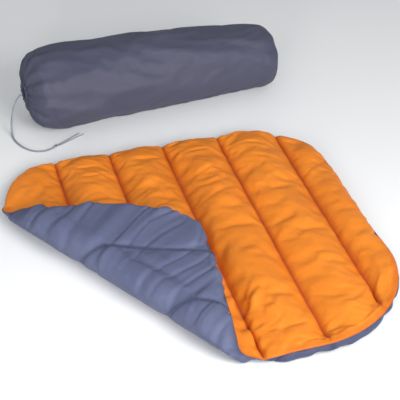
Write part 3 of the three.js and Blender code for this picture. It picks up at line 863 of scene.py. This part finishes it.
def make_stitches():
    for i in range(1, 6):
        x = SEAMS[i]
        lo, hi = edge_ys(np.array([x]))
        ys = np.arange(lo[0] + 0.008, hi[0] - 0.006, 0.0050)
        xs = np.full(len(ys), x)
        d = edge_distance(xs, ys)
        off = off_fold(xs, ys)
        for face in (True, False):
            mat = MATERIALS["orange_thread" if face else "grey_thread"]
            z = shape_top(xs, ys, d) + 0.0004 if face else shape_under(xs, ys, d) - 0.0004
            z = z if face else np.maximum(z, 0.0012)
            at = np.stack(wrap_rim(xs, ys, d, z, np.full(len(xs), not face)), 1)
            run = np.gradient(at, axis=0)
            run /= np.linalg.norm(run, axis=1, keepdims=True)
            raised = np.cross([1.0, 0, 0], run)
            raised *= (1 if face else -1) / np.linalg.norm(raised, axis=1, keepdims=True)
            groups = {"down": [], "over": []}
            for k in range(len(ys)):
                c, direction, up = at[k], run[k], raised[k]
                if off[k] < -0.002:
                    groups["down"].append((droop(c[None].copy())[0], direction, up))
                elif off[k] > STRIP + 0.002 and d[k] > 0.020:
                    a, b, e = place_corner(np.stack([c, c + direction * 0.001, c + up * 0.001]))
                    groups["over"].append((a, (b - a) / np.linalg.norm(b - a), (e - a) / np.linalg.norm(e - a)))
                elif not face:
                    groups.setdefault("bend", []).append((c, direction, up))
            tag = "face" if face else "under"
            for key, rows in groups.items():
                if not rows:
                    continue
                ob = stitch_mesh(f"stitches_{tag}_{i}_{key}", rows, mat)
                if key == "over":
                    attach(ob, "folded_corner")
                elif key == "bend":
                    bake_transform(ob)
                    set_co(ob.data, place_strip(get_co(ob.data)))
                elif i >= 4:
                    blend_wing(ob)
                else:
                    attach(ob, "quilt")
                down = f"main_stitch_{i}" if i < 5 else "inner_wing_stitch_5"
                node = {"down": down, "over": f"corner_stitch_{i}"}.get(key)
                if face == (key == "down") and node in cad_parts:
                    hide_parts(node)


make_stitches()


# ---------------------------------------------------------------- stuff sack
def toward_base(x):
    return smooth((x - 0.36) / 0.40)


def sack_radius(x):
    """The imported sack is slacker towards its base, so it is thinner there than the cut of the cloth."""
    full = R_MOUTH + (R_BASE - R_MOUTH) * x / SACK_LENGTH
    return full * (1 - 0.12 * toward_base(x))


def place_sack(local):
    """local: x along the sack from its mouth, y to its left, z up."""
    c, s = math.cos(SACK_TURN), math.sin(SACK_TURN)
    out = local.copy()
    side = local[:, 1] - 0.010 * toward_base(local[:, 0])
    out[:, 0] = SACK_AT[0] + local[:, 0] * c - side * s
    out[:, 1] = SACK_AT[1] + local[:, 0] * s + side * c
    return out


def sack_profile():
    """Mouth to base rim: (x, radius) of each point, and the length of cloth up to it."""
    pts = [(0.006, NECK_R), (0.010, NECK_R + 0.016), (0.016, NECK_R + 0.038), (0.026, NECK_R + 0.060),
           (0.042, NECK_R + 0.077), (0.070, NECK_R + 0.0885), (0.104, 0.1187)]
    for x in np.linspace(0.13, SACK_LENGTH - BASE_ROUND, 18):
        pts.append((x, sack_radius(x)))
    cx, cr = SACK_LENGTH - BASE_ROUND, sack_radius(SACK_LENGTH) - BASE_ROUND
    for a in (75, 60, 45, 30, 15, 5):
        pts.append((cx + BASE_ROUND * math.cos(math.radians(a)), cr + BASE_ROUND * math.sin(math.radians(a))))
    pts = np.array(pts)
    run = np.r_[0, np.cumsum(np.hypot(*np.diff(pts, axis=0).T))]
    return pts, run


def make_sack():
    pts, run = sack_profile()
    total = run[-1]
    n, m = int(total / 0.0075), 104
    s = np.linspace(0, total, n)
    px, pr = np.interp(s, run, pts[:, 0]), np.interp(s, run, pts[:, 1])
    th = np.linspace(0, 2 * np.pi, m, endpoint=False)
    S, TH = np.meshgrid(s, th, indexing="ij")
    X, R = np.repeat(px[:, None], m, 1), np.repeat(pr[:, None], m, 1)
    # the gathers of the mouth: deep near the neck, gone a hand's width from it
    gather = np.exp(-(S / 0.085) ** 1.5)
    pleat = np.sin(13 * TH + 1.2 * np.sin(2 * TH) + 0.8 * noise(TH * 2.2, S / 0.05, 31))
    pleat = pleat * 0.75 + 0.35 * np.sin(21 * TH + 2.0 + S / 0.03)
    R = R + gather * 0.0095 * pleat * smooth(S / 0.03 + 0.25)
    X = X - gather * 0.008 * pleat * smooth(R / 0.05 - 0.8) - 0.004 * gather
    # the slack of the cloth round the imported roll
    body = smooth(S / 0.12) * smooth((total - S) / 0.06)
    soft = 0.0035 * noise(S / 0.21 + 3.1, np.cos(TH) * 2.1 + np.sin(TH) * 1.3, 32)
    soft = soft + 0.0022 * noise(S / 0.09, np.sin(TH) * 3 + np.cos(TH) * 2, 33)
    girth = TH * SACK_MEAN_R
    diagonal = noise((S * 0.8 + girth * 0.6) / 0.20, (girth * 0.8 - S * 0.6) / 0.032, 34)
    near_base = np.exp(-((total - S) / 0.16) ** 2)
    R = R + body * (soft + 0.0012 * diagonal) + near_base * 0.0022 * diagonal * smooth((total - S) / 0.02)
    Y, Z = -R * np.sin(TH), -R * np.cos(TH)
    Z = Z + sack_radius(X) * SACK_SEAT
    # it flattens where it lies on the floor
    Z = np.where(Z < 0.014, 0.0007 + 0.0133 * np.clip(Z / 0.014, -1, 1) ** 2 * (Z > 0), Z)
    co = np.stack([X, Y, Z], -1).reshape(-1, 3)
    I = np.arange(n * m).reshape(n, m)
    J = np.roll(I, -1, 1)
    faces = np.stack([I[:-1], J[:-1], J[1:], I[1:]], -1).reshape(-1, 4)
    me = mesh_from("sack_body", co, faces)
    loops = loop_vertices(me)
    last = (np.arange(len(loops)) // 4) % m == m - 1
    column = np.where((loops % m == 0) & last, m, loops % m)
    set_uv(me, np.stack([s[loops // m], column * 2 * np.pi * SACK_MEAN_R / m], -1))
    me.materials.append(MATERIALS["sack"])
    ob = new_object("sack_body", me)
    start = get_co(me).copy()
    pins = np.r_[0:3 * m, (n - 1) * m:n * m]
    low = np.flatnonzero(start[:, 2] < 0.004)
    run_cloth(ob, np.unique(np.r_[pins, low]), pressure=0.9, slack=0.03, frames=16, bending=0.2)
    set_co(ob.data, cap(start, get_co(ob.data), 0.009))
    subdivide(ob)
    me = ob.data
    co, no = get_co(me), get_no(me)
    ang = np.arctan2(co[:, 1], co[:, 2] - 0.11)
    wr = noise((co[:, 0] + 0.35 * ang * 0.11) / 0.16, (ang * SACK_MEAN_R - 0.35 * co[:, 0]) / 0.020, 41)
    fine = noise(co[:, 0] / 0.03 + ang, ang * SACK_MEAN_R / 0.011, 42)
    near = np.exp(-(co[:, 0] / 0.10) ** 2) + 0.7 * np.exp(-((SACK_LENGTH - co[:, 0]) / 0.20) ** 2) + 0.25
    co = co + no * ((0.0010 * wr + 0.0005 * fine) * near * smooth((SACK_LENGTH - 0.004 - co[:, 0]) / 0.03))[:, None]
    co[:, 2] = np.maximum(co[:, 2], 0.0006)
    # painted shade in the gathered mouth: darker near the sack's axis at its mouth end
    r = np.hypot(co[:, 1], co[:, 2] - 0.12)
    set_attribute(me, "painted_shade", np.clip(0.8 * smooth((0.060 - r) / 0.04) * smooth((0.03 - co[:, 0]) / 0.03), 0, 1))
    set_co(me, place_sack(co))
    solid = ob.modifiers.new("thickness", "SOLIDIFY")
    solid.thickness, solid.offset = 0.0007, -1
    apply_modifiers(ob)
    shade_smooth(ob.data)
    on_sack(ob, "sack_cloth", "sack_tube")
    return ob, pts


def ring_tube(name, x, ring_r, tube_r, height, wobble, seed=50, sides=14):
    """A ring of rolled cloth round the sack's axis."""
    segments = 160
    th = np.linspace(0, 2 * np.pi, segments, endpoint=False)
    ph = np.linspace(0, 2 * np.pi, sides, endpoint=False)
    TH, PH = np.meshgrid(th, ph, indexing="ij")
    pleat = np.sin(13 * TH + 1.2 * np.sin(2 * TH)) * 0.7 + 0.4 * noise(TH * 9, PH, seed)
    tr = tube_r * (1 + wobble * pleat)
    rr = ring_r + tr * np.cos(PH) + wobble * tube_r * 0.8 * pleat
    X = x + tr * np.sin(PH)
    co = np.stack([X, -rr * np.sin(TH), height - rr * np.cos(TH)], -1).reshape(-1, 3)
    I = np.arange(segments * sides).reshape(segments, sides)
    a, b = I, np.roll(I, -1, 0)
    faces = np.stack([a, np.roll(a, -1, 1), np.roll(b, -1, 1), b], -1).reshape(-1, 4)
    me = mesh_from(name, place_sack(co), faces)
    me.materials.append(MATERIALS["sack"])
    loops = loop_vertices(me)
    set_uv(me, 2 * np.pi * np.stack([loops // sides * ring_r / segments, loops % sides * tube_r / sides], -1))
    shade_smooth(me)
    turn_outward(me)
    return new_object(name, me)


def make_disc(name, x, radius, crown):
    """The round base panel, a little crowned and drawn in along its seam."""
    rings, spokes = 26, 96
    verts, faces = [np.array([x + crown, 0, 0])], []
    for i in range(1, rings + 1):
        r = radius * i / rings
        for k in range(spokes):
            th = 2 * np.pi * k / spokes
            dent = 0.0016 * noise(np.array(r * math.cos(th) / 0.03), np.array(r * math.sin(th) / 0.05), 61)
            pull = 0.0010 * math.sin(22 * th) * (i / rings) ** 6 * (i < rings)
            out = x + crown * (1 - (i / rings) ** 2) + float(dent) * (1 - (i / rings) ** 4) + pull
            verts.append(np.array([out, -r * math.sin(th), -r * math.cos(th)]))
    for k in range(spokes):
        faces.append((0, 1 + (k + 1) % spokes, 1 + k))
    for i in range(rings - 1):
        for k in range(spokes):
            a, b = 1 + i * spokes + k, 1 + i * spokes + (k + 1) % spokes
            faces.append((a, b, b + spokes, a + spokes))
    v = np.array(verts)
    flat = v[:, 1:].copy()
    v[:, 2] += sack_radius(SACK_LENGTH) * SACK_SEAT
    me = mesh_from(name, place_sack(v), faces)
    me.materials.append(MATERIALS["sack"])
    set_uv(me, flat[loop_vertices(me)])
    turn_outward(me)
    if np.mean([p.normal.x for p in me.polygons]) < 0:
        me.flip_normals()
    ob = new_object(name, me)
    s = ob.modifiers.new("thickness", "SOLIDIFY")
    s.thickness, s.offset = 0.0008, -1
    apply_modifiers(ob)
    shade_smooth(ob.data)
    return ob


def make_roll():
    """The second quilt, rolled and packed: its wound end shows in the mouth."""
    m, rows = 72, [(0.036, 0.0), (0.034, 0.012), (0.033, 0.026), (0.034, 0.040), (0.044, 0.066), (0.060, 0.086),
                   (0.090, 0.100), (0.14, 0.104)]
    rows += [(x, sack_radius(x) - 0.012) for x in np.linspace(0.2, 0.70, 8)]
    rows += [(0.730, 0.080), (0.744, 0.060), (0.746, 0.0)]
    verts, faces = [], []
    for x, r in rows:
        for k in range(m):
            th = 2 * np.pi * k / m
            turn = 0.004 * math.sin(np.pi * r / 0.014 + th) if x < 0.1 else 0.0015 * math.sin(7 * th + x * 40)
            verts.append((x + turn, -r * math.sin(th), sack_radius(x) * 0.9914 - r * math.cos(th) * 0.985))
    for i in range(len(rows) - 1):
        for k in range(m):
            a, b = i * m + k, i * m + (k + 1) % m
            faces.append((a, b, b + m, a + m))
    me = mesh_from("rolled_quilt", place_sack(np.array(verts)), faces)
    me.materials.append(MATERIALS["roll"])
    turn_outward(me)
    ob = new_object("rolled_quilt", me)
    subdivide(ob)
    shade_smooth(ob.data)
    on_sack(ob, "packed_quilt", "packed_roll")


def make_all_sack():
    body, pts = make_sack()
    hem = ring_tube("sack_mouth_hem", 0.0035, NECK_R - 0.001, 0.0048, NECK_Z, wobble=0.22)
    on_sack(hem, "sack_cloth", "sack_hem")
    end_x, end_r = pts[-1]
    base = make_disc("sack_base_panel", end_x - 0.001, end_r + 0.0004, 0.0015)
    on_sack(base, "sack_cloth", "sack_base")
    base_z = sack_radius(SACK_LENGTH) * SACK_SEAT
    seam = ring_tube("sack_base_seam", end_x - 0.0002, end_r + 0.0003, 0.0013, base_z, wobble=0.15, seed=51, sides=10)
    on_sack(seam, "sack_cloth")
    make_roll()


make_all_sack()


# ---------------------------------------------------------------- floor, light
def make_stage():
    half, level = 40, -0.0004
    corners = [(-half, -half, level), (half, -half, level), (half, half, level), (-half, half, level)]
    me = mesh_from("floor", corners, [(0, 1, 2, 3)])
    n = Nodes("floor")
    at = n.add("ShaderNodeTexCoord").outputs["Object"]
    grain = n.add("ShaderNodeTexNoise", {"Vector": at, "Scale": 3.0, "Detail": 2.0})
    tone = n.ramp(grain.outputs[0], 0, (0.86, 0.86, 0.86), 1, (0.89, 0.89, 0.89))
    n.set(Base_Color=tone, Roughness=0.9, Specular_IOR_Level=0.1)
    me.materials.append(n.mat)
    floor = new_object("floor", me)
    world = bpy.data.worlds.new("studio")
    world.use_nodes = True
    world.node_tree.nodes["Background"].inputs[0].default_value = (0.93, 0.96, 1.0, 1)
    world.node_tree.nodes["Background"].inputs[1].default_value = 0.49
    bpy.context.scene.world = world
    bpy.context.scene.view_settings.view_transform = "Standard"
    for name, at, aim, size, power, spread in (
            ("key", (0.7, -1.85, 1.45), (0.0, -0.1, 0), 1.3, 60, 180),
            ("fill", (-2.0, -1.6, 1.5), (-0.1, 0.3, 0), 1.8, 15, 180),
            ("low", (-0.9, -1.3, 0.55), (-0.05, 0.66, 0.09), 0.6, 1.6, 50)):
        light = bpy.data.objects.new(name, bpy.data.lights.new(name, "AREA"))
        light.data.size, light.data.energy, light.data.spread = size, power, math.radians(spread)
        light.location = at
        light.rotation_euler = (Vector(aim) - Vector(at)).to_track_quat("-Z", "Y").to_euler()
        bpy.context.scene.collection.objects.link(light)


make_stage()
